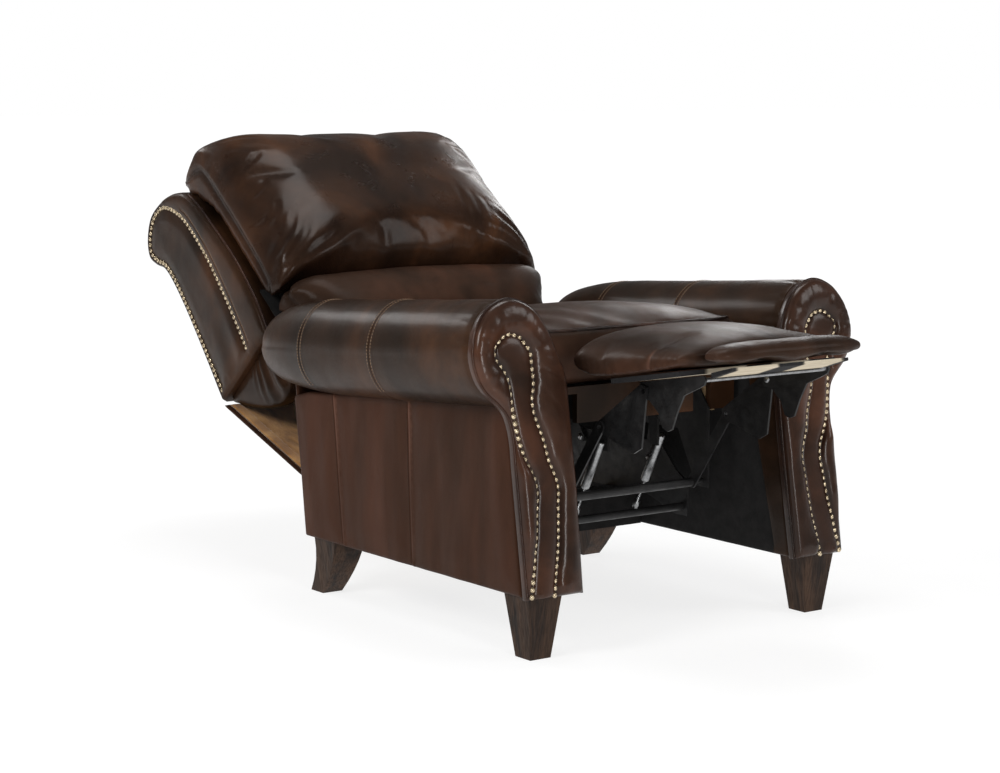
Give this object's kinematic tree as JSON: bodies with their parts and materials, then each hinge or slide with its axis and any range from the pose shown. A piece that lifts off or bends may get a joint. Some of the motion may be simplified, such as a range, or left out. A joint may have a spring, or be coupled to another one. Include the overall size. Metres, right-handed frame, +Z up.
{
  "type": "recliner armchair",
  "caption": "Push-back recliner armchair with rolled arms, winged reclining back, loose pillows and a folding footrest on steel links, standing on tapered wooden feet.",
  "frame": {"origin": "on the floor, below the middle of the reclined chair's bounding box", "axes": "+X to the sitter's left, the chair faces -Y, +Z up"},
  "size_m": [0.9182, 1.7719, 0.9244],
  "materials": {
    "arm_leather": "antiqued dark brown leather, satin",
    "cushion_leather": "polished dark brown leather with rubbed highlights",
    "lining": "tan napped lining",
    "dust_cloth": "black woven cambric",
    "dark_wood": "dark walnut stain, satin lacquer",
    "frame_wood": "raw hardwood",
    "board": "pale plywood",
    "black_steel": "black powder coat, satin",
    "zinc": "bright zinc"
  },
  "bodies": {
    "base": {"foot_front_left": "dark_wood", "foot_front_right": "dark_wood", "foot_rear_left": "dark_wood", "foot_rear_right": "dark_wood", "arm_facing_left": "arm_leather", "arm_facing_right": "arm_leather", "arm_roll_left": "arm_leather", "arm_roll_right": "arm_leather", "arm_outer_panel_left": "arm_leather", "arm_outer_panel_right": "arm_leather", "arm_inner_panel_left": "arm_leather", "arm_inner_panel_right": "arm_leather", "arm_front_post_left": "frame_wood", "arm_front_post_right": "frame_wood", "arm_rear_post_left": "frame_wood", "arm_rear_post_right": "frame_wood", "base_front_rail": "dust_cloth", "base_rear_rail": "frame_wood", "base_stretcher": "black_steel", "base_mechanism_plate_left": "black_steel", "base_mechanism_plate_right": "black_steel"},
    "seat": {"seat_side_rail_left": "frame_wood", "seat_side_rail_right": "frame_wood", "seat_mechanism_plate_left": "black_steel", "seat_mechanism_plate_right": "black_steel", "seat_front_rail": "frame_wood", "seat_deck": "dust_cloth", "seat_apron": "cushion_leather", "seat_cushion": "cushion_leather"},
    "swing_front": {"swing_link_front_left": "black_steel", "swing_link_front_right": "black_steel"},
    "swing_rear": {"swing_link_rear_left": "black_steel", "swing_link_rear_right": "black_steel"},
    "footrest_drive": {"footrest_lower_link_left": "black_steel", "footrest_lower_link_right": "black_steel", "footrest_torque_tube": "black_steel"},
    "ottoman": {"footrest_bracket_left": "black_steel", "footrest_bracket_right": "black_steel", "footrest_board": "board", "footrest_pad": "cushion_leather", "flipper_hinge_rod": "zinc"},
    "footrest_upper": {"footrest_upper_link_left": "black_steel", "footrest_upper_link_right": "black_steel"},
    "flipper": {"flipper_pad": "cushion_leather", "flipper_board": "board"},
    "gas_cylinders": {"gas_cylinder_left": "zinc", "gas_cylinder_right": "zinc"},
    "gas_rods": {"gas_rod_left": "zinc", "gas_rod_right": "zinc"},
    "back": {"back_side_rail_left": "frame_wood", "back_side_rail_right": "frame_wood", "back_wing_left": "cushion_leather", "back_wing_right": "cushion_leather", "back_inner_panel": "cushion_leather", "back_lower_pad": "cushion_leather", "back_outer_panel": "cushion_leather", "back_top_roll": "cushion_leather", "headrest_pillow": "cushion_leather", "lumbar_pillow": "cushion_leather"},
    "flap": {"back_flap": "lining"}
  },
  "joints": [
    {"name": "back_recline", "type": "hinge", "parent": "seat", "child": "back", "pos_m": [0, 0.136, 0.38], "axis": [1, 0, 0], "range_deg": [0, 31]},
    {"name": "seat_tilt", "type": "hinge", "parent": "base", "child": "seat", "pos_m": [0, -0.104, 0.02], "axis": [1, 0, 0], "range_deg": [0, 8]},
    {"name": "footrest_fold", "type": "hinge", "parent": "seat", "child": "ottoman", "pos_m": [0, -0.4916, 0.5622], "axis": [1, 0, 0], "range_deg": [0, 78]},
    {"name": "swing_front_pivot", "type": "hinge", "parent": "base", "child": "swing_front", "pos_m": [0, -0.2361, 0.2782], "axis": [1, 0, 0], "range_deg": [0, 32.47]},
    {"name": "swing_rear_pivot", "type": "hinge", "parent": "base", "child": "swing_rear", "pos_m": [0, -0.0091, 0.294], "axis": [1, 0, 0], "range_deg": [0, 32.45]},
    {"name": "footrest_drive_pivot", "type": "hinge", "parent": "seat", "child": "footrest_drive", "pos_m": [0, -0.414, 0.255], "axis": [1, 0, 0], "range_deg": [-73.81, 0]},
    {"name": "footrest_upper_pivot", "type": "hinge", "parent": "ottoman", "child": "footrest_upper", "pos_m": [0, -0.642, 0.484], "axis": [1, 0, 0], "range_deg": [-44.93, 0]},
    {"name": "flipper_hinge", "type": "hinge", "parent": "ottoman", "child": "flipper", "pos_m": [0, -0.8, 0.5195], "axis": [1, 0, 0], "range_deg": [0, 110.01]},
    {"name": "gas_top_pivot", "type": "hinge", "parent": "seat", "child": "gas_cylinders", "pos_m": [0, -0.414, 0.35], "axis": [1, 0, 0], "range_deg": [0, 12.57]},
    {"name": "gas_stroke", "type": "slide", "parent": "gas_cylinders", "child": "gas_rods", "axis": [0, 0.4561, -0.8899], "range_m": [-0.01093, 0]},
    {"name": "back_flap_hinge", "type": "hinge", "parent": "back", "child": "flap", "pos_m": [0, 0.547, 0.349], "axis": [1, 0, 0], "range_deg": [0, 24]}
  ],
  "couplings": [
    {"joint": "seat_tilt", "follows": "back_recline", "ratio": 0.25806},
    {"joint": "swing_front_pivot", "follows": "back_recline", "ratio": 1.0474},
    {"joint": "swing_rear_pivot", "follows": "back_recline", "ratio": 1.0467},
    {"joint": "gas_top_pivot", "follows": "back_recline", "ratio": 0.40544},
    {"joint": "gas_stroke", "follows": "back_recline", "m_per_rad": -0.020177},
    {"joint": "back_flap_hinge", "follows": "back_recline", "ratio": 0.77419},
    {"joint": "footrest_drive_pivot", "follows": "footrest_fold", "ratio": -0.94615},
    {"joint": "footrest_upper_pivot", "follows": "footrest_fold", "ratio": -0.57601},
    {"joint": "flipper_hinge", "follows": "footrest_fold", "ratio": 1.4103}
  ]
}
